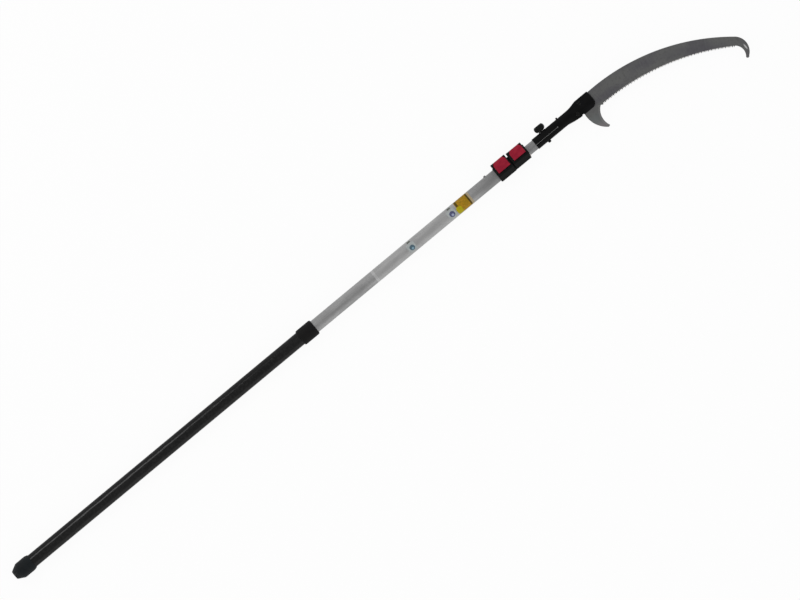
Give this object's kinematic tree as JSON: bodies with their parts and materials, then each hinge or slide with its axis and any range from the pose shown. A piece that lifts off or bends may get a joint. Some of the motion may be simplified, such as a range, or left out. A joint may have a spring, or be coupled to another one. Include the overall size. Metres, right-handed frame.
{
  "type": "telescoping pole saw",
  "caption": "Telescoping pole saw with an oval aluminium pole, a two-lever latch, a clamping head with a knob, and a curved blade with an under sickle and a tip hook.",
  "frame": {"origin": "middle of the butt cap's flat end face, on the outer tube's axis", "axes": "+X along the pole toward the blade, +Y toward the back of the blade, +Z square to the blade on the side of the red levers"},
  "size_m": [2.4036, 0.2193, 0.05],
  "materials": {
    "tube_aluminium": "satin anodised",
    "grip_rubber": "smooth shrink sleeve",
    "cap_rubber": "moulded",
    "black_plastic": "moulded",
    "red_plastic": "moulded",
    "white_nylon": "machined",
    "bare_steel": "turned",
    "black_steel": "black oxide",
    "head_casting": "satin black coat",
    "blade_steel": "ground",
    "brass": "turned"
  },
  "bodies": {
    "pole": {"outer_tube": "tube_aluminium", "grip_sleeve": "grip_rubber", "grip_collar": "cap_rubber", "butt_cap": "cap_rubber", "stop_rivet": "tube_aluminium", "latch_body": "black_plastic", "latch_screws": "black_steel", "guide_bush": "white_nylon", "button_axle": "bare_steel", "cam_axle": "bare_steel", "button_spring": "bare_steel"},
    "button": {"lock_button": "red_plastic"},
    "pin": {"lock_pin": "bare_steel"},
    "lever": {"cam_lever": "red_plastic"},
    "shoe": {"brake_shoe": "black_plastic"},
    "upper_pole": {"inner_tube": "tube_aluminium", "rear_guide": "white_nylon", "guide_pin": "bare_steel", "head_socket": "head_casting", "head_pin": "black_steel", "clamp_bolt": "black_steel", "blade": "blade_steel", "blade_bolts": "black_steel", "blade_nuts": "black_steel"},
    "washer": {"knob_washer": "black_steel"},
    "knob": {"clamp_knob": "black_plastic", "knob_insert": "brass"}
  },
  "joints": [
    {"name": "pole_slide", "type": "slide", "parent": "pole", "child": "upper_pole", "axis": [1, 0, 0], "range_m": [0, 1.4]},
    {"name": "button_press", "type": "hinge", "parent": "pole", "child": "button", "pos_m": [1.69325, 0.015, 0.021], "axis": [-1, 0, 0], "range_deg": [0, 12], "stiffness_Nm_per_rad": 0.4, "deforming": ["button_spring"]},
    {"name": "pin_lift", "type": "slide", "parent": "pole", "child": "pin", "axis": [0, 0, 1], "range_m": [0, 0.0028]},
    {"name": "lever_open", "type": "hinge", "parent": "pole", "child": "lever", "pos_m": [1.74625, 0.005, 0.0215], "axis": [1, 0, 0], "range_deg": [0, 90]},
    {"name": "shoe_lift", "type": "slide", "parent": "pole", "child": "shoe", "axis": [0, 0, 1], "range_m": [0, 0.0006]},
    {"name": "washer_lift", "type": "slide", "parent": "upper_pole", "child": "washer", "axis": [0, 1, 0], "range_m": [0, 0.0021]},
    {"name": "knob_turn", "type": "hinge", "parent": "washer", "child": "knob", "pos_m": [1.833, 0.015, 0], "axis": [0, 1, 0], "range_deg": [0, 720]}
  ],
  "couplings": [
    {"joint": "pin_lift", "follows": "button_press", "m_per_rad": 0.0126},
    {"joint": "shoe_lift", "follows": "lever_open", "m_per_rad": 0.000318},
    {"joint": "washer_lift", "follows": "knob_turn", "m_per_rad": 0.00015915}
  ]
}
